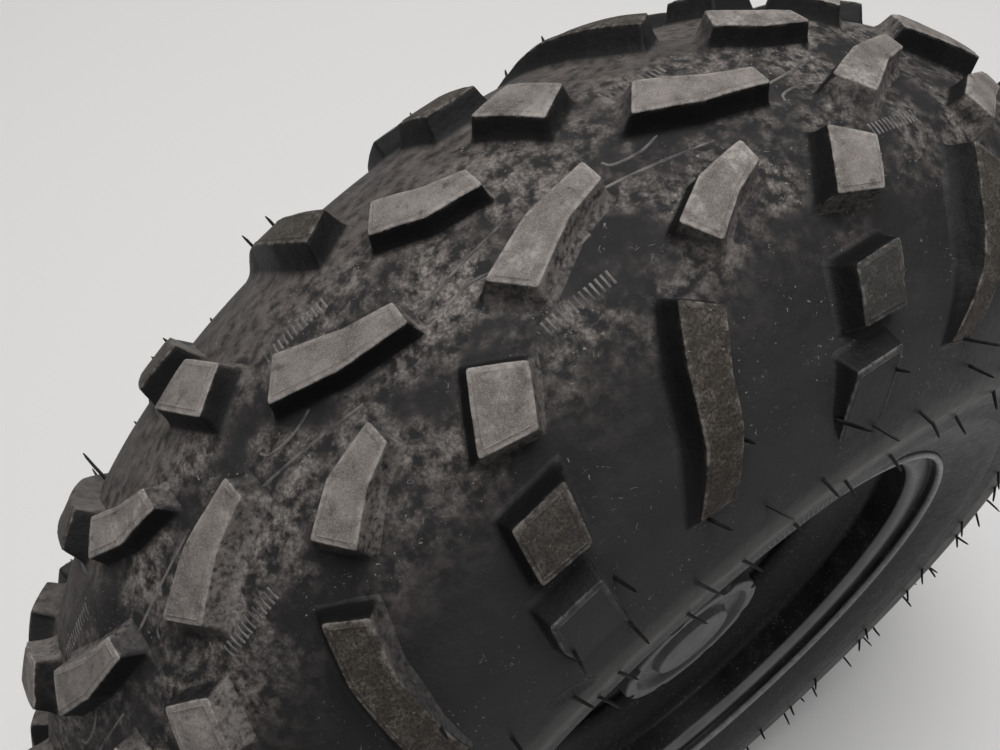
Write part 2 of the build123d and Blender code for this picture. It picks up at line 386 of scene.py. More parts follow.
def lug_pattern(name, outline, reaches):
    """One lug, flat: X along the crown line, Y round the tyre, Z up from its foot."""
    flat = flat_outline(outline, crown)
    top = rounded([(corner.x, corner.y, CORNER_BEND) for corner in flat], 2)
    foot = rounded([(corner.x, corner.y, CORNER_BEND * 2) for corner in grown(flat, reaches)], 2)
    rings = [[foot_corner.to_3d() + Vector((0, 0, FOOT_SUNK * LUG_RISE)) for foot_corner in foot]]
    for share, rise in SIDE_RINGS:
        rings.append([(high + (low - high) * share).to_3d() + Vector((0, 0, rise * LUG_RISE))
                      for low, high in zip(foot, top)])
    for inset, rise in TOP_RINGS:
        inner = grown(flat, [-inset] * len(flat))
        bend = max(CORNER_BEND - inset, 0.3)
        inner = rounded([(corner.x, corner.y, bend) for corner in inner], 2)
        rings.append([corner.to_3d() + Vector((0, 0, LUG_RISE + rise)) for corner in inner])
    piece = start_ring("lug_" + name, rings[0])
    for ring, target in zip(rings, rings[1:]):
        raise_ring(piece, ring, target)
    close_ends(piece)
    places = [vertex.co.copy() for vertex in bmesh.from_edit_mesh(piece.data).verts]
    for axis in (0, 1):
        low = min(spot[axis] for spot in places)
        high = max(spot[axis] for spot in places)
        cuts = int((high - low) / GRID)
        normal = [0, 0, 0]
        normal[axis] = 1
        for index in range(1, cuts):
            spot = [0, 0, 0]
            spot[axis] = low + (high - low) * index / cuts
            bpy.ops.mesh.select_all(action="SELECT")
            bpy.ops.mesh.bisect(plane_co=spot, plane_no=normal)
    bpy.ops.mesh.select_all(action="SELECT")
    bpy.ops.mesh.remove_doubles(threshold=2e-2)
    bpy.ops.object.mode_set(mode="OBJECT")
    return piece


def share_between(value, low, high):
    return min(1.0, max(0.0, (value - low) / (high - low)))


# Dust lies on sides that face outwards, partly painted light as well, and painted shade darkens those that face the
# other way.
LEAN_OUT = 0.95
LEAN_ROUND = 0.35


def lug_marks(pattern, proud):
    """Each corner's place over the tread as (out, radius, angle), and its marks for wear, dust, painted light and
    painted shade.
    """
    marks = []
    for vertex in pattern.data.vertices:
        length, round_tyre, rise = vertex.co
        here, normal = crown.at(length)
        over = rise - LUG_RISE
        if over < -1.2:
            level = proud + over / LUG_RISE * (proud + float(np.interp(length, depth_lengths, depths)))
        else:
            level = proud + over
        spot = here + normal * level
        top = share_between(over, -0.9, -0.45)
        # rim marks the top's rounded edge and the flash line, where the pale edge goes: partly from tearing, partly a
        # painted highlight.
        rim = share_between(over, -1.1, -0.6) * (1 - share_between(over, -0.24, -0.12))
        if over > 0.05:
            rim = 0.55
        lean = (LEAN_ROUND * vertex.normal.y - LEAN_OUT * vertex.normal.x) * (1 - top)
        foot = 1 - share_between(rise / LUG_RISE, 0.02, 0.34)
        marks.append((spot.x, spot.y, math.degrees(round_tyre / TIP_RADIUS), over, (top, rim, lean, foot)))
    return marks


LUG_MARKS = ("lug_top", "lug_rim", "lug_lean", "lug_foot", "lug_wear")
CHIP_START = 0.42


def wrapped(pattern, marks, wear, step, inboard, scatter):
    """Copy of a flat lug laid on the tyre, with its own wear."""
    piece = copy_of(pattern)
    turn = PITCH * step + (PITCH / 2 if inboard else 0)
    side = -1 if inboard else 1
    for name in LUG_MARKS:
        piece.data.attributes.new(name, "FLOAT", "POINT")
    layers = [piece.data.attributes[name] for name in LUG_MARKS]
    shift = Vector((scatter.uniform(0, 50), scatter.uniform(0, 50), scatter.uniform(0, 50)))
    own_wear = wear + scatter.uniform(-0.07, 0.07)
    for index, (out, radius, angle, over, values) in enumerate(marks):
        co = place(side * out, radius, angle + turn)
        upwards = (co - Vector((0, MIDDLE_Y, 0))).normalized()
        co += noise.noise_vector(co * 55 + shift) * 0.25 * MM
        co += noise.noise_vector(co * 420 + shift) * (0.1 if over < -1.1 else 0.03) * MM
        if -1.1 < over < -0.15:
            chip = noise.noise(co * 110 + shift) - CHIP_START
            if chip > 0:
                co -= upwards * chip * 3.0 * MM
        piece.data.vertices[index].co = co
        for layer, value in zip(layers, values + (own_wear,)):
            layer.data[index].value = value
    return piece


def tread_lugs(name, proud, wear, outline, reaches):
    pattern = lug_pattern(name, outline, reaches)
    marks = lug_marks(pattern, proud)
    scatter = random.Random(len(name))
    copies = []
    for step in range(LUG_COUNT):
        for inboard in (False, True):
            copies.append(wrapped(pattern, marks, wear, step, inboard, scatter))
    bpy.data.objects.remove(pattern)
    piece = joined("tread_" + name, copies)
    outwards(piece)
    soft_edges(piece, 50)
    return piece


RELIEF_SUNK = -0.8


def relief_pattern(name, outlines, rise, draft):
    """Low raised shapes, flat, from (length, round the tyre) outlines."""
    pieces = []
    for outline in outlines:
        low = [corner.to_3d() + Vector((0, 0, RELIEF_SUNK)) for corner in outline]
        level = [corner.to_3d() for corner in outline]
        high = [corner.to_3d() + Vector((0, 0, rise)) for corner in grown(outline, [-draft] * len(outline))]
        piece = start_ring(name, low)
        raise_ring(piece, low, level)
        raise_ring(piece, level, high)
        close_ends(piece)
        bpy.ops.object.mode_set(mode="OBJECT")
        pieces.append(piece)
    return joined(name, pieces)


def laid_round(name, pattern, stride=1):
    """Copies of a flat pattern on the rubber between the lugs, on both sides of the tyre."""
    spots = [(base.at(vertex.co.x), vertex.co.y, vertex.co.z) for vertex in pattern.data.vertices]
    copies = []
    for step in range(0, LUG_COUNT, stride):
        for inboard in (False, True):
            piece = copy_of(pattern)
            turn = PITCH * step + (PITCH / 2 if inboard else 0)
            side = -1 if inboard else 1
            for vertex, ((here, normal), round_tyre, rise) in zip(piece.data.vertices, spots):
                spot = here + normal * rise
                vertex.co = place(side * spot.x, spot.y, math.degrees(round_tyre / TIP_RADIUS) + turn)
            copies.append(piece)
    bpy.data.objects.remove(pattern)
    piece = joined(name, copies)
    outwards(piece)
    soft_edges(piece, 40)
    return piece


LINE_WIDTH = 1.3
LINE_STEP = 6
RIB_PITCH = 2.6
RIB_WIDTH = 1.2
RIB_LENGTH = 6.0


def ribbon(start, end, width):
    """Outline of a straight strip with a width."""
    across = (end - start).normalized().orthogonal() * width / 2
    return [start + across, end + across, end - across, start - across]


def mould_lines():
    outlines = []
    for line in MOULD_LINES:
        flat = smooth_line(flat_outline(line, base), LINE_STEP)
        sides = [beside(flat, half) for half in (LINE_WIDTH / 2, -LINE_WIDTH / 2)]
        outlines.append(sides[0] + list(reversed(sides[1])))
    return laid_round("mould_lines", relief_pattern("mould_line", outlines, 0.35, 0.4))


def ribbed_strips():
    start, end = flat_outline(RIBBED_STRIP, base)
    stretch = end - start
    count = round(stretch.length / RIB_PITCH)
    across = stretch.normalized().orthogonal() * RIB_LENGTH / 2
    outlines = []
    for index in range(count + 1):
        middle = start + stretch * index / count
        outlines.append(ribbon(middle - across, middle + across, RIB_WIDTH))
    return laid_round("ribbed_strips", relief_pattern("rib", outlines, 0.22, 0.3))


def oval_pads():
    """Pointed ovals low on the sidewall, ribbed across."""
    start, end = flat_outline(OVAL_ENDS, base)
    along = end - start
    across = along.normalized().orthogonal()
    half = smooth_line([start, start + along * 0.2 + across * OVAL_HALF * 0.72, start + along * 0.5 + across * OVAL_HALF,
                        start + along * 0.8 + across * OVAL_HALF * 0.72, end], 3)
    other = [spot - across * (spot - start).dot(across) * 2 for spot in half]
    outlines = [half + list(reversed(other[1:-1]))]
    pad = relief_pattern("oval", outlines, 0.4, 0.4)
    ribs = []
    for spot, mirrored in zip(half[2:-2], other[2:-2]):
        inner = (mirrored - spot) * 0.12
        ribs.append(ribbon(spot + inner, mirrored - inner, 0.8))
    return laid_round("oval_pads", joined("oval_pad", [pad, relief_pattern("oval_rib", ribs, 0.75, 0.25)]), OVAL_STEP)


def sidewall_at(radius):
    """Place and outward normal on the sidewall at a radius, as (out, radius) pairs."""
    line = smooth_line(BASE)
    line = [spot for spot in line if spot.x > 60]
    radii = np.array([spot.y for spot in line])[::-1]
    outs = np.array([spot.x for spot in line])[::-1]
    here = Vector((float(np.interp(radius, radii, outs)), radius))
    above = Vector((float(np.interp(radius + 3, radii, outs)), radius + 3))
    below = Vector((float(np.interp(radius - 3, radii, outs)), radius - 3))
    run = (below - above).normalized()
    return here, Vector((-run.y, run.x))


HAIR_RINGS = [(1.0, -0.08), (0.85, 0.1), (0.78, 0.5), (0.66, 0.85), (0.3, 1.0)]
HAIR_REACH = 5.6             # how far a hair may stand out past the widest section
HAIR_SCATTER = 0.22          # how much their lean varies


def hair_pattern():
    """One hair, straight up and one unit long: a five-sided taper."""
    def ring(radius, height):
        return [Vector((radius * math.cos(math.tau * k / 5), radius * math.sin(math.tau * k / 5), height))
                for k in range(5)]
    rings = [ring(radius, height) for radius, height in HAIR_RINGS]
    piece = start_ring("hair", rings[0])
    for here, target in zip(rings, rings[1:]):
        raise_ring(piece, here, target)
    close_ends(piece)
    bpy.ops.object.mode_set(mode="OBJECT")
    return piece


def hairs():
    pattern = hair_pattern()
    rows = [vertex.co.copy() for vertex in pattern.data.vertices]
    scatter = random.Random(5)
    copies = []
    for radius, first, count, length, lean, swing in HAIR_ROWS:
        here, normal = sidewall_at(radius)
        for index in range(count):
            for side in (1, -1):
                angle = first + 360 / count * index + scatter.uniform(-1.5, 1.5)
                if side < 0:
                    angle += PITCH / 2
                own_lean = lean + scatter.uniform(-HAIR_SCATTER, HAIR_SCATTER)
                own_swing = swing + scatter.uniform(-HAIR_SCATTER, HAIR_SCATTER)
                bend = scatter.uniform(-0.12, 0.12)
                run = Vector((normal.x, normal.y + own_lean, own_swing)).normalized()
                room = SECTION_HALF + HAIR_REACH - here.x
                own = min(length * scatter.uniform(0.75, 1.2), room / run.x)
                across = run.orthogonal().normalized()
                beyond = run.cross(across)
                piece = copy_of(pattern)
                for vertex, flat in zip(piece.data.vertices, rows):
                    spot = Vector((here.x, here.y, 0)) + run * flat.z * own
                    spot += across * (flat.x + bend * own * flat.z * flat.z) + beyond * flat.y
                    vertex.co = place(side * spot.x, spot.y, angle + math.degrees(spot.z / here.y))
                copies.append(piece)
    bpy.data.objects.remove(pattern)
    piece = joined("moulding_hairs", copies)
    outwards(piece)
    soft_edges(piece, 60)
    return piece


BEAD_CORNERS = [(104.9, 166.4), (100.2, 166.2), (96.7, 165.5), (96.7, 152.8)]


def carcass():
    """Rubber body between the lugs, down to the beads in the rim."""
    half = [spot for spot in smooth_line(BASE, 6) if spot.x >= 0]
    half += [Vector(corner) for corner in BEAD_CORNERS]
    profile = [(spot.x, spot.y) for spot in half] + [(-spot.x, spot.y) for spot in reversed(half[1:])]
    return spun("tyre_carcass", profile, 360)


# Middle of the rim's sheet as (out, radius, bend), from the outboard lip inwards.
SHEET_HALF = 1.5
LIP_MIDDLE = (105.1, 164.1)
LIP_ROLL = 1.85
BARREL_LINE = [(103.9, 164.4, 0), (98.5, 164.4, 4.0), (98.5, 150.9, 5.0), (76.2, 150.9, 8.0),
               (59.6, 126.5, 9.0), (2.4, 126.5, 9.0), (-14.2, 150.9, 8.0), (-98.5, 150.9, 5.0),
               (-98.5, 164.4, 4.0), (-103.9, 164.4, 0)]


def rim_barrel():
    """Rolled barrel: curled lips, bead flanges and a drop centre, as one bent sheet."""
    middle = rounded(BARREL_LINE, 6)
    outer = beside(middle, -SHEET_HALF)
    inner = beside(middle, SHEET_HALF)
    near_roll = arc(LIP_MIDDLE, LIP_ROLL, -145, 135, 12)
    far_roll = arc((-LIP_MIDDLE[0], LIP_MIDDLE[1]), LIP_ROLL, 45, 325, 12)
    profile = near_roll + outer + far_roll + list(reversed(inner))
    return spun("rim_barrel_sheet", [(spot.x, spot.y) for spot in profile], 256)


# Outboard face of the wheel's disc as (out, radius, bend), and its thickness inboard.
DISC_LINE = [(43, 45.6, 0), (43, 97.7, 6.0), (55, 114.4, 6.0), (55, 124.6, 6.5), (24, 124.6, 0)]
DISC_SHEET = 5.0
BOLT_CIRCLE = 137.0
BOLT_COUNT = 4
BOLT_RADIUS = 6.0


def wheel_disc():
    """Pressed disc with bolt holes, its flange inside the well."""
    face = rounded(DISC_LINE, 6)
    back = beside(face, DISC_SHEET)
    disc = spun("wheel_disc", [(spot.x, spot.y) for spot in face + list(reversed(back))], 192)
    for index in range(BOLT_COUNT):
        spot = place(DISC_LINE[0][0] - DISC_SHEET / 2, BOLT_CIRCLE / 2, 360 / BOLT_COUNT * index)
        clear_selection()
        bpy.ops.mesh.primitive_cylinder_add(vertices=48, radius=BOLT_RADIUS * MM, depth=4 * DISC_SHEET * MM,
                                            location=spot, rotation=(math.pi / 2, 0, 0))
        cut(disc, bpy.context.object)
    make_active(disc)
    soften = disc.modifiers.new("soften", "BEVEL")
    soften.width = 0.5 * MM
    soften.segments = 2
    soften.limit_method = "ANGLE"
    soften.angle_limit = math.radians(50)
    bpy.ops.object.modifier_apply(modifier=soften.name)
    return disc


def bore_collar():
    """Steel collar in the disc's bore, with chamfered ends."""
    corners = [(38, 43, 0.5), (50, 43, 0.7), (50, 45.2, 0.7), (38, 45.2, 0.5)]
    return spun("bore_collar_ring", [(spot.x, spot.y) for spot in rounded(corners, 3)], 96)


# Centre cap as (out, radius, bend): skirt, notched rim, sunk ring and plain boss.
CAP_LINE = [(43.2, 45.7, 0.4), (43.2, 48, 0.6), (83.5, 48, 1.8), (83.5, 40.5, 1.5), (79.6, 38.2, 1.5),
            (79.6, 27.0, 2.0), (84.6, 25.0, 1.6), (86.3, 8, 6.0), (86.5, 0.01, 0), (74.6, 0.01, 0),
            (74.6, 45.7, 1.0)]
CAP_NOTCHES = 8
CAP_FACE = 83.5


def centre_cap():
    """Plastic cap over the bore, with a lobed rim and a plain boss."""
    cap = spun("centre_cap_shell", [(spot.x, spot.y) for spot in rounded(CAP_LINE, 4)], 192)
    for index in range(CAP_NOTCHES):
        angle = 360 * (index + 0.5) / CAP_NOTCHES
        spot = place(CAP_FACE, 50.5, angle)
        clear_selection()
        bpy.ops.mesh.primitive_cylinder_add(vertices=40, radius=6.2 * MM, depth=12 * MM, location=spot,
                                            rotation=(math.pi / 2, 0, 0))
        cut(cap, bpy.context.object)
    make_active(cap)
    soften = cap.modifiers.new("soften", "BEVEL")
    soften.width = 0.6 * MM
    soften.segments = 2
    soften.limit_method = "ANGLE"
    soften.angle_limit = math.radians(50)
    bpy.ops.object.modifier_apply(modifier=soften.name)
    return cap


# Valve: angle round the rim, place of its neck in the well's sloping wall, and turned
# profiles as (radius, height, bend) along its own axis.
VALVE_ANGLE = 75.0
WELL_WALL = ((60.0, 128.0), (77.0, 152.4))
VALVE_LINE = [(0.01, -1.0, 0), (8.0, -1.0, 0.8), (8.0, 0.2, 0.6), (5.2, 0.2, 0.5), (5.2, 3.3, 0.4),
              (6.9, 3.3, 0.8), (6.6, 9, 3.0), (4.6, 24.6, 1.5), (3.1, 25.0, 0.3), (3.1, 34.0, 0.5), (0.01, 34.0, 0)]
VALVE_CAP_LINE = [(3.3, 25.4, 0.2), (4.4, 25.4, 0.5), (4.4, 34.6, 1.2), (3.4, 36.3, 0.8), (0.01, 36.3, 0),
                  (0.01, 34.2, 0), (3.3, 34.2, 0)]


def valve_frame():
    """Matrix of the valve's own axis, square to the well's sloping wall."""
    (low_out, low_radius), (high_out, high_radius) = WELL_WALL
    slope = math.hypot(high_out - low_out, high_radius - low_radius)
    radial = place(0, 1, VALVE_ANGLE) - place(0, 0, 0)
    radial.normalize()
    direction = Vector((0, -1, 0)) * (high_radius - low_radius) / slope - radial * (high_out - low_out) / slope
    middle = place((low_out + high_out) / 2, (low_radius + high_radius) / 2 - 3.0, VALVE_ANGLE)
    middle -= direction * 3.0 * MM
    return Matrix.Translation(middle) @ direction.to_track_quat("Z", "Y").to_matrix().to_4x4()


def turned(name, line):
    """Small turned piece on the valve's axis."""
    clear_selection()
    profile = rounded(line, 3)
    bpy.ops.mesh.primitive_circle_add(vertices=len(profile), radius=0.1, location=(0, 0, 0))
    piece = bpy.context.object
    piece.name = name
    for vertex, spot in zip(piece.data.vertices, profile):
        vertex.co = (spot.x * MM, 0, spot.y * MM)
    edit(piece, "EDGE")
    bpy.ops.mesh.select_all(action="SELECT")
    bpy.ops.mesh.spin(steps=40, angle=math.tau, center=(0, 0, 0), axis=(0, 0, 1))
    bpy.ops.mesh.select_all(action="SELECT")
    bpy.ops.mesh.remove_doubles(threshold=2e-5)
    outwards(piece)
    piece.matrix_world = valve_frame()
    make_active(piece)
    bpy.ops.object.transform_apply(location=True, rotation=True, scale=True)
    return piece


# Materials


def nodes_of(name):
    material = bpy.data.materials.new(name)
    material.use_nodes = True
    tree = material.node_tree
    return material, tree, tree.nodes["Principled BSDF"]


def feed(tree, socket, value):
    """Sets a socket to a number or colour, or links it."""
    if isinstance(value, (int, float)):
        socket.default_value = value
    elif isinstance(value, tuple):
        socket.default_value = (*value, 1)
    else:
        tree.links.new(value, socket)


def sums(tree, operation, first, second=0.0):
    node = tree.nodes.new("ShaderNodeMath")
    node.operation = operation
    feed(tree, node.inputs[0], first)
    feed(tree, node.inputs[1], second)
    return node.outputs[0]


def times(tree, *values):
    result = values[0]
    for value in values[1:]:
        result = sums(tree, "MULTIPLY", result, value)
    return result


def grain(tree, vector, scale, detail=4.0, roughness=0.55, twist=0.0):
    node = tree.nodes.new("ShaderNodeTexNoise")
    node.inputs["Scale"].default_value = scale
    node.inputs["Detail"].default_value = detail
    node.inputs["Roughness"].default_value = roughness
    node.inputs["Distortion"].default_value = twist
    tree.links.new(vector, node.inputs["Vector"])
    return node.outputs["Fac"]


def band(tree, value, low, high, to_low=0.0, to_high=1.0):
    node = tree.nodes.new("ShaderNodeMapRange")
    node.clamp = True
    tree.links.new(value, node.inputs["Value"])
    node.inputs["From Min"].default_value = low
    node.inputs["From Max"].default_value = high
    node.inputs["To Min"].default_value = to_low
    node.inputs["To Max"].default_value = to_high
    return node.outputs["Result"]


def between(tree, value, low, high, edge):
    """1 between two values, falling to 0 over an edge's width."""
    return times(tree, band(tree, value, low - edge, low), band(tree, value, high, high + edge, 1.0, 0.0))


def blend(tree, share, first, second):
    node = tree.nodes.new("ShaderNodeMix")
    node.data_type = "RGBA"
    feed(tree, node.inputs[0], share)
    colours = [socket for socket in node.inputs if socket.type == "RGBA"]
    feed(tree, colours[0], first)
    feed(tree, colours[1], second)
    return [socket for socket in node.outputs if socket.type == "RGBA"][0]


def bump(tree, height, distance, after=None):
    node = tree.nodes.new("ShaderNodeBump")
    node.inputs["Distance"].default_value = distance
    tree.links.new(height, node.inputs["Height"])
    if after is not None:
        tree.links.new(after, node.inputs["Normal"])
    return node.outputs["Normal"]


def attribute(tree, name):
    node = tree.nodes.new("ShaderNodeAttribute")
    node.attribute_name = name
    return node.outputs["Fac"]


def wheel_place(tree):
    """Sockets for the object's coordinates, radius, distance out and angle round the axle."""
    coordinates = tree.nodes.new("ShaderNodeTexCoord").outputs["Object"]
    split = tree.nodes.new("ShaderNodeSeparateXYZ")
    tree.links.new(coordinates, split.inputs[0])
    x, y, z = split.outputs
    radius = sums(tree, "SQRT", sums(tree, "ADD", times(tree, x, x), times(tree, z, z)))
    out = sums(tree, "ABSOLUTE", sums(tree, "SUBTRACT", y, MIDDLE_Y))
    return coordinates, radius, out, sums(tree, "ARCTAN2", x, z)


def fibres(tree, coordinates, scale, width):
    """Short thin squiggles, like lint caught on the rubber."""
    field = grain(tree, coordinates, scale, 2.0, 0.5, 0.6)
    line = band(tree, sums(tree, "ABSOLUTE", sums(tree, "SUBTRACT", field, 0.5)), width * 0.5, width, 1.0, 0.0)
    return times(tree, line, band(tree, grain(tree, coordinates, scale * 2.3, 1.0), 0.6, 0.63))


def scratches(tree, coordinates):
    """Fine pale scratches, drawn out along the axle."""
    stretch = tree.nodes.new("ShaderNodeMapping")
    stretch.inputs["Scale"].default_value = (9.0, 1.0, 9.0)
    stretch.inputs["Rotation"].default_value = (0.35, 0.2, 0.5)
    tree.links.new(coordinates, stretch.inputs["Vector"])
    streaks = grain(tree, stretch.outputs["Vector"], 90, 3, 0.7)
    return times(tree, band(tree, streaks, 0.6, 0.68), band(tree, grain(tree, coordinates, 50, 2), 0.5, 0.62), 0.4)


RUBBER_WALL = (0.030, 0.0305, 0.0315)
RUBBER_TREAD = (0.0165, 0.0158, 0.016)
TREAD_DUST = (0.100, 0.087, 0.080)
PALE_DUST = (0.24, 0.225, 0.21)
SERRATIONS = 480
SERRATED_BAND = (0.1985, 0.2105)
SERRATION_LEAN = 900.0


def tyre_colour(tree, coordinates, radius, medium, wide):
    """Bluish black sidewall, and browner rubber with dust between the lugs."""
    tread = band(tree, radius, 0.262, 0.298)
    middle = band(tree, radius, 0.300, 0.3145)
    fine = grain(tree, coordinates, 650, 4, 0.7)
    colour = blend(tree, tread, RUBBER_WALL, RUBBER_TREAD)
    dusty = times(tree, band(tree, wide, 0.38, 0.62), band(tree, medium, 0.4, 0.66), band(tree, radius, 0.292, 0.31))
    colour = blend(tree, dusty, colour, TREAD_DUST)
    caked = times(tree, band(tree, wide, 0.42, 0.6), band(tree, medium, 0.43, 0.61),
                  band(tree, fine, 0.4, 0.62), middle, 0.95)
    colour = blend(tree, caked, colour, (0.21, 0.192, 0.178))
    split = tree.nodes.new("ShaderNodeSeparateXYZ")
    tree.links.new(coordinates, split.inputs[0])
    inboard = band(tree, split.outputs[1], MIDDLE_Y + 0.02, MIDDLE_Y + 0.06)
    veil = times(tree, inboard, band(tree, medium, 0.3, 0.62), band(tree, radius, 0.268, 0.29), 0.85)
    colour = blend(tree, veil, colour, (0.105, 0.092, 0.084))
    smudge = times(tree, band(tree, grain(tree, coordinates, 60, 4), 0.48, 0.75), 0.15)
    colour = blend(tree, smudge, colour, (0.056, 0.054, 0.052))
    specks = times(tree, band(tree, grain(tree, coordinates, 700, 1), 0.715, 0.76),
                   band(tree, grain(tree, coordinates, 34, 3), 0.5, 0.6), 0.75)
    colour = blend(tree, specks, colour, PALE_DUST)
    squiggles = times(tree, fibres(tree, coordinates, 150, 0.007),
                      band(tree, grain(tree, coordinates, 40, 2), 0.5, 0.58), 0.7)
    return blend(tree, squiggles, colour, PALE_DUST)


def tyre_rubber():
    """Satin sidewall, dull and dusty between the lugs, serrated near the bead."""
    material, tree, shader = nodes_of("tyre_rubber")
    coordinates, radius, out, angle = wheel_place(tree)
    fine = grain(tree, coordinates, 1100, 3)
    medium = grain(tree, coordinates, 170, 6, 0.6)
    wide = grain(tree, coordinates, 26, 5)
    colour = tyre_colour(tree, coordinates, radius, medium, wide)
    serrated = times(tree, between(tree, radius, *SERRATED_BAND, 0.0006), band(tree, out, 0.10, 0.11))
    ribs = sums(tree, "SINE", sums(tree, "ADD", times(tree, angle, float(SERRATIONS)),
                                   times(tree, radius, SERRATION_LEAN)))
    ribs = times(tree, serrated, band(tree, ribs, -1, 1))
    colour = blend(tree, times(tree, ribs, 0.6), colour, (0.085, 0.084, 0.083))
    # Paler band round the widest part of the sidewall: partly dust, partly a painted highlight.
    ridge_dust_and_highlight = times(tree, between(tree, radius, 0.2175, 0.2285, 0.008), band(tree, out, 0.10, 0.11), 0.75)
    colour = blend(tree, ridge_dust_and_highlight, colour, (0.080, 0.077, 0.073))
    tree.links.new(colour, shader.inputs["Base Color"])
    tread = band(tree, radius, 0.262, 0.298)
    tree.links.new(sums(tree, "ADD", band(tree, medium, 0.3, 0.7, 0.40, 0.54), times(tree, tread, 0.25)),
                   shader.inputs["Roughness"])
    shader.inputs["Specular IOR Level"].default_value = 0.08
    normal = bump(tree, ribs, 0.0007)
    normal = bump(tree, fine, 0.0001, normal)
    normal = bump(tree, times(tree, medium, band(tree, tread, 0, 1, 0.35, 1.0)), 0.0008, normal)
    tree.links.new(normal, shader.inputs["Normal"])
    return material


def lug_rubber():
    """Sides dusty and partly painted lighter where they face outwards, painted shade where they face the other way;
    worn tops with a pinkish grain; pale edges, partly from tearing and partly a painted highlight.
    """
    material, tree, shader = nodes_of("lug_rubber")
    coordinates, radius, out, angle = wheel_place(tree)
    fine = grain(tree, coordinates, 1900, 3, 0.7)
    coarse = grain(tree, coordinates, 420, 5, 0.65)
    medium = grain(tree, coordinates, 170, 6, 0.6)
    wide = grain(tree, coordinates, 26, 5)
    wear = attribute(tree, "lug_wear")
    lean = attribute(tree, "lug_lean")
    patches = grain(tree, coordinates, 75, 6, 0.62)
    top = sums(tree, "ADD", attribute(tree, "lug_top"), times(tree, sums(tree, "SUBTRACT", coarse, 0.5), 0.5))
    top = band(tree, top, 0.42, 0.6)
    grey = blend(tree, band(tree, patches, 0.36, 0.64), (0.098, 0.088, 0.081), (0.180, 0.161, 0.149))
    grey = blend(tree, band(tree, fine, 0.5, 0.68, 0.0, 0.75), grey, (0.235, 0.212, 0.199))
    grey = blend(tree, band(tree, fine, 0.33, 0.45, 0.6, 0.0), grey, (0.062, 0.055, 0.051))
    grey = blend(tree, band(tree, medium, 0.31, 0.4, 0.7, 0.0), grey, (0.050, 0.044, 0.041))
    grey = blend(tree, scratches(tree, coordinates), grey, (0.26, 0.24, 0.225))
    caked = times(tree, band(tree, wide, 0.46, 0.6), band(tree, patches, 0.47, 0.58),
                  band(tree, coarse, 0.44, 0.56), 0.65)
    grey = blend(tree, caked, grey, (0.31, 0.285, 0.262))
    crumbs = grain(tree, coordinates, 900, 4, 0.7)
    dark = blend(tree, band(tree, crumbs, 0.36, 0.66), (0.016, 0.014, 0.0125), (0.050, 0.042, 0.034))
    dark = blend(tree, times(tree, band(tree, medium, 0.46, 0.64), band(tree, crumbs, 0.42, 0.6), 0.7), dark,
                 (0.108, 0.094, 0.076))
    worn_here = sums(tree, "ADD", wear, times(tree, sums(tree, "SUBTRACT", patches, 0.5), 0.8))
    worn_here = sums(tree, "ADD", worn_here, times(tree, sums(tree, "SUBTRACT", coarse, 0.5), 0.7))
    worn_here = band(tree, worn_here, 0.35, 0.9)
    face = blend(tree, worn_here, dark, grey)
    lint = times(tree, fibres(tree, coordinates, 210, 0.012), band(tree, patches, 0.44, 0.54), 0.7)
    face = blend(tree, lint, face, (0.24, 0.215, 0.17))
    face = blend(tree, band(tree, wear, 0.1, 0.2), RUBBER_WALL, face)
    plain = tyre_colour(tree, coordinates, radius, medium, wide)
    # Painted shade: sides facing inboard, and all sides of the less worn lugs, go near black above the foot.
    unlit = sums(tree, "ADD", lean, band(tree, wear, 0.3, 0.8, 0.45, 0.0))
    shaded = times(tree, band(tree, attribute(tree, "lug_foot"), 0.6, 1.0, 1.0, 0.0),
                   band(tree, unlit, -0.2, 0.65, 0.0, 0.97))
    side = blend(tree, shaded, plain, (0.0035, 0.0035, 0.0036))
    # Outward-facing sides: paler dust, partly standing in as painted light on that side.
    dusty = times(tree, band(tree, lean, -0.8, -0.1, 1.0, 0.0), band(tree, coarse, 0.36, 0.6),
                  band(tree, wear, 0.1, 0.8, 0.1, 0.9))
    side = blend(tree, dusty, side, (0.155, 0.140, 0.130))
    colour = blend(tree, top, side, face)
    # Pale line round each lug's top edge: partly tearing of the rubber, partly a painted highlight on the rounded
    # edge.
    torn_edge_and_highlight = times(tree, attribute(tree, "lug_rim"), band(tree, medium, 0.44, 0.56),
                 band(tree, coarse, 0.36, 0.5), band(tree, wear, 0.3, 0.8, 0.3, 0.6))
    colour = blend(tree, torn_edge_and_highlight, colour, (0.29, 0.268, 0.25))
    tree.links.new(colour, shader.inputs["Base Color"])
    tree.links.new(times(tree, band(tree, worn_here, 0.0, 1.0, 0.72, 1.0), band(tree, top, 0, 1, 0.72, 0.84)),
                   shader.inputs["Roughness"])
    shader.inputs["Specular IOR Level"].default_value = 0.12
    normal = bump(tree, fine, 0.00016)
    normal = bump(tree, coarse, 0.0003, normal)
    normal = bump(tree, medium, 0.0005, normal)
    tree.links.new(normal, shader.inputs["Normal"])
    return material


def mould_flash():
    """Thin flash lines, paler than the rubber that they stand on."""
    material, tree, shader = nodes_of("mould_flash")
    coordinates = wheel_place(tree)[0]
    patches = grain(tree, coordinates, 130, 4, 0.6)
    tree.links.new(blend(tree, band(tree, patches, 0.4, 0.62), (0.026, 0.024, 0.023), (0.115, 0.106, 0.099)),
                   shader.inputs["Base Color"])
    tree.links.new(band(tree, patches, 0.3, 0.7, 0.6, 0.75), shader.inputs["Roughness"])
    tree.links.new(bump(tree, grain(tree, coordinates, 900, 3), 0.0001), shader.inputs["Normal"])
    return material


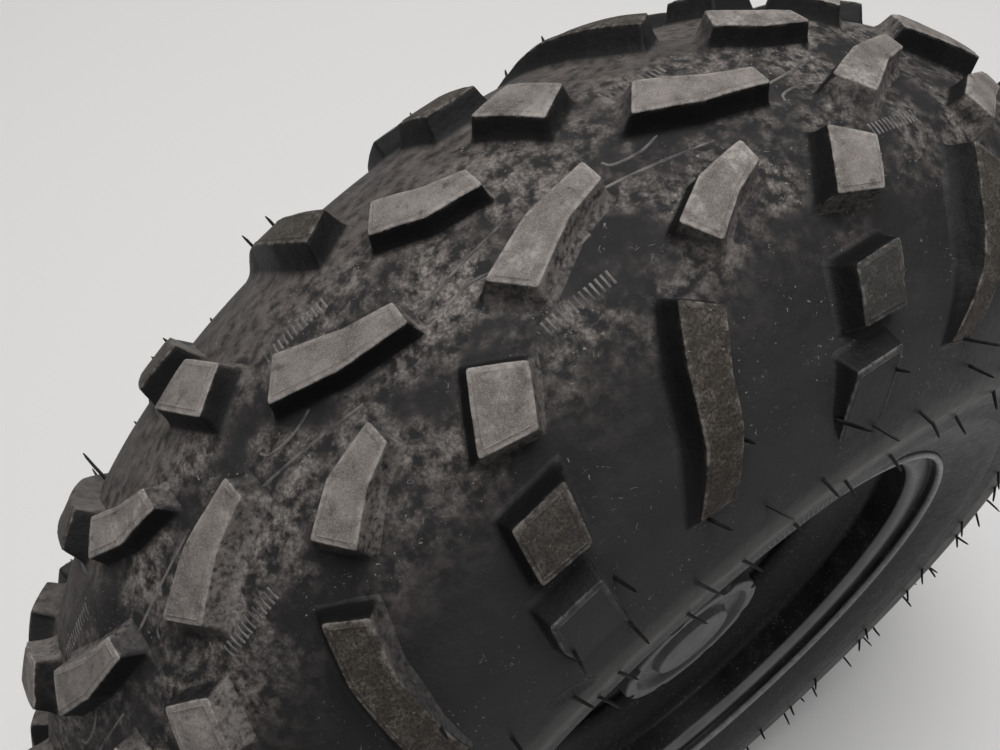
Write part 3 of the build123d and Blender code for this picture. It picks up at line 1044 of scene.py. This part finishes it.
def hair_rubber():
    """Plain black rubber with a soft shine along it."""
    material, tree, shader = nodes_of("hair_rubber")
    coordinates = wheel_place(tree)[0]
    patches = grain(tree, coordinates, 300, 3)
    tree.links.new(blend(tree, band(tree, patches, 0.4, 0.7), (0.004, 0.004, 0.004), (0.011, 0.0105, 0.010)),
                   shader.inputs["Base Color"])
    tree.links.new(band(tree, patches, 0.3, 0.7, 0.42, 0.6), shader.inputs["Roughness"])
    shader.inputs["Specular IOR Level"].default_value = 0.16
    return material


def rim_paint():
    """Satin dark grey paint: dust in the corners, and painted highlights on the flange face and along the rolled lip.
    """
    material, tree, shader = nodes_of("rim_paint")
    coordinates, radius, out, angle = wheel_place(tree)
    peel = grain(tree, coordinates, 520, 2)
    smears = grain(tree, coordinates, 45, 6, 0.6)
    medium = grain(tree, coordinates, 220, 5, 0.6)
    colour = blend(tree, band(tree, smears, 0.3, 0.72), (0.0045, 0.0046, 0.005), (0.010, 0.0101, 0.0106))
    dust = times(tree, band(tree, medium, 0.5, 0.68), band(tree, smears, 0.46, 0.64), 0.5)
    colour = blend(tree, dust, colour, (0.060, 0.054, 0.048))
    # Painted highlights: a paler band on the bead flange's face, and a paler, glinting band along the rolled lip.
    flange = between(tree, out, 0.0955, 0.0990, 0.0012)
    colour = blend(tree, times(tree, flange, band(tree, smears, 0.3, 0.6, 0.7, 0.95)), colour, (0.19, 0.19, 0.19))
    lip = band(tree, out, 0.1034, 0.1042)
    colour = blend(tree, times(tree, lip, band(tree, medium, 0.3, 0.6, 0.5, 0.85)), colour, (0.30, 0.30, 0.30))
    specks = times(tree, band(tree, grain(tree, coordinates, 800, 1), 0.71, 0.76), 0.7)
    colour = blend(tree, specks, colour, PALE_DUST)
    tree.links.new(colour, shader.inputs["Base Color"])
    tree.links.new(band(tree, smears, 0.3, 0.7, 0.3, 0.5), shader.inputs["Roughness"])
    shader.inputs["Specular IOR Level"].default_value = 0.16
    normal = bump(tree, peel, 0.00005)
    normal = bump(tree, dust, 0.0002, normal)
    tree.links.new(normal, shader.inputs["Normal"])
    return material


def cap_plastic():
    """Grey moulded plastic, fine sparkly texture, scuffed, and darker in its sunk ring."""
    material, tree, shader = nodes_of("cap_plastic")
    coordinates, radius, out, angle = wheel_place(tree)
    texture = grain(tree, coordinates, 1500, 2)
    medium = grain(tree, coordinates, 240, 5, 0.6)
    smears = grain(tree, coordinates, 60, 4)
    colour = blend(tree, band(tree, smears, 0.3, 0.7), (0.048, 0.049, 0.0505), (0.080, 0.080, 0.081))
    sunk = times(tree, between(tree, radius, 0.0265, 0.0385, 0.002), band(tree, medium, 0.3, 0.6, 0.6, 0.9))
    colour = blend(tree, sunk, colour, (0.034, 0.033, 0.033))
    scuffs = band(tree, grain(tree, coordinates, 700, 2), 0.62, 0.7, 0.0, 0.5)
    colour = blend(tree, scuffs, colour, (0.17, 0.168, 0.165))
    tree.links.new(colour, shader.inputs["Base Color"])
    tree.links.new(band(tree, medium, 0.3, 0.7, 0.36, 0.52), shader.inputs["Roughness"])
    shader.inputs["Specular IOR Level"].default_value = 0.3
    normal = bump(tree, texture, 0.00006)
    tree.links.new(normal, shader.inputs["Normal"])
    return material


def valve_rubber():
    """Matt black moulded rubber with a dusty bloom."""
    material, tree, shader = nodes_of("valve_rubber")
    coordinates = wheel_place(tree)[0]
    bloom = grain(tree, coordinates, 260, 5, 0.6)
    tree.links.new(blend(tree, band(tree, bloom, 0.4, 0.68), (0.016, 0.016, 0.016), (0.05, 0.046, 0.042)),
                   shader.inputs["Base Color"])
    tree.links.new(band(tree, bloom, 0.3, 0.7, 0.6, 0.8), shader.inputs["Roughness"])
    tree.links.new(bump(tree, grain(tree, coordinates, 1400, 2), 0.00008), shader.inputs["Normal"])
    return material


def valve_cap_plastic():
    """Black plastic with fine scratches."""
    material, tree, shader = nodes_of("valve_cap_plastic")
    coordinates = wheel_place(tree)[0]
    scratches = grain(tree, coordinates, 900, 4, 0.7)
    tree.links.new(blend(tree, band(tree, scratches, 0.5, 0.7), (0.028, 0.028, 0.028), (0.06, 0.06, 0.06)),
                   shader.inputs["Base Color"])
    tree.links.new(band(tree, scratches, 0.3, 0.7, 0.4, 0.6), shader.inputs["Roughness"])
    tree.links.new(bump(tree, scratches, 0.00006), shader.inputs["Normal"])
    return material


rubber = tyre_rubber()
tread_rubber = lug_rubber()
paint = rim_paint()

tyre_body = carcass()
soft_edges(tyre_body)
finish(tyre_body, rubber, "tyre_rubber", "tyre")
for name, proud, wear, outline, reaches in LUGS:
    finish(tread_lugs(name, proud, wear, outline, reaches), tread_rubber, "tyre_rubber")
flash = mould_flash()
finish(mould_lines(), flash, "tyre_rubber")
finish(ribbed_strips(), flash, "tyre_rubber")
finish(oval_pads(), rubber, "tyre_rubber")
finish(hairs(), hair_rubber(), "tyre_rubber")

barrel = rim_barrel()
soft_edges(barrel)
finish(barrel, paint, "rim_paint", "rim_barrel")
disc = wheel_disc()
soft_edges(disc)
finish(disc, paint, "rim_paint", "rim_disc", "hub_plate")
collar = bore_collar()
soft_edges(collar)
finish(collar, paint, "rim_paint", "bore_collar")
cap = centre_cap()
soft_edges(cap)
finish(cap, cap_plastic(), "cap_plastic", "centre_cap")
valve = turned("tyre_valve", VALVE_LINE)
soft_edges(valve)
finish(valve, valve_rubber(), "valve_rubber", "valve_stem")
dust_cap = turned("valve_dust_cap", VALVE_CAP_LINE)
soft_edges(dust_cap)
finish(dust_cap, valve_cap_plastic(), "valve_cap_plastic", "valve_cap")


# Stage

FLOOR_Z = -TIP_RADIUS * MM


ROOM_LIGHT = 0.22
ROOM_SEEN = 0.55
ROOM_COLOUR = (0.95, 0.96, 0.98)
FLOOR_FADE = (1.7, 5.0)


def seen_rays(tree):
    """1 for what is seen, mirrored or seen through, 0 for what only gives light."""
    rays = tree.nodes.new("ShaderNodeLightPath").outputs
    seen = sums(tree, "MAXIMUM", rays["Is Camera Ray"], rays["Is Glossy Ray"])
    return sums(tree, "MAXIMUM", seen, rays["Is Transmission Ray"])


def floor():
    """Pale floor that fades far off into the backdrop's colour."""
    clear_selection()
    bpy.ops.mesh.primitive_plane_add(size=14, location=(0, 0, FLOOR_Z))
    ground = bpy.context.object
    ground.name = "floor"
    material, tree, shader = nodes_of("pale_floor")
    shader.inputs["Base Color"].default_value = (0.68, 0.67, 0.66, 1)
    shader.inputs["Roughness"].default_value = 0.8
    distance = tree.nodes.new("ShaderNodeVectorMath")
    distance.operation = "LENGTH"
    tree.links.new(wheel_place(tree)[0], distance.inputs[0])
    far = band(tree, distance.outputs["Value"], *FLOOR_FADE)
    glow = tree.nodes.new("ShaderNodeEmission")
    glow.inputs["Color"].default_value = (*ROOM_COLOUR, 1)
    glow.inputs["Strength"].default_value = ROOM_SEEN
    fade = tree.nodes.new("ShaderNodeMixShader")
    tree.links.new(times(tree, far, seen_rays(tree)), fade.inputs[0])
    tree.links.new(shader.outputs[0], fade.inputs[1])
    tree.links.new(glow.outputs[0], fade.inputs[2])
    tree.links.new(fade.outputs[0], tree.nodes["Material Output"].inputs["Surface"])
    ground.data.materials.append(material)


def lamp(name, spot, size, energy, aim=(0, 0.02, 0.05)):
    clear_selection()
    bpy.ops.object.light_add(type="AREA", location=spot)
    light = bpy.context.object
    light.name = name
    light.data.shape = "RECTANGLE"
    light.data.size, light.data.size_y = size
    light.data.energy = energy
    light.rotation_euler = (Vector(aim) - Vector(spot)).to_track_quat("-Z", "Y").to_euler()


CAMERA_SPOT = (-0.2402, -0.18526, 0.64683)
CAMERA_AHEAD = (0.33688142, 0.44541765, -0.82952638)
CAMERA_RIGHT = (0.79757127, -0.60322472, 0.0)
CAMERA_LENS = 43.9


def camera():
    clear_selection()
    bpy.ops.object.camera_add(location=CAMERA_SPOT)
    view = bpy.context.object
    ahead = Vector(CAMERA_AHEAD).normalized()
    right = Vector(CAMERA_RIGHT).normalized()
    up = right.cross(ahead)
    view.matrix_world = Matrix.Translation(CAMERA_SPOT) @ Matrix((right, up, -ahead)).transposed().to_4x4()
    view.data.lens = CAMERA_LENS
    view.data.sensor_width = 36
    view.data.clip_start = 0.01
    bpy.context.scene.camera = view


def room():
    """A dim room for the lamps to work in, seen and mirrored as a pale backdrop."""
    world = bpy.data.worlds.new("room")
    world.use_nodes = True
    tree = world.node_tree
    background = tree.nodes["Background"]
    background.inputs["Color"].default_value = (*ROOM_COLOUR, 1)
    tree.links.new(band(tree, seen_rays(tree), 0, 1, ROOM_LIGHT, ROOM_SEEN), background.inputs["Strength"])
    bpy.context.scene.world = world


floor()
lamp("ceiling_light", (0.25, 0.22, 2.6), (1.8, 1.8), 82)
lamp("side_light", (-1.6, -1.8, 1.6), (1.4, 1.4), 2.5)
room()
camera()
bpy.context.scene.view_settings.view_transform = "Standard"
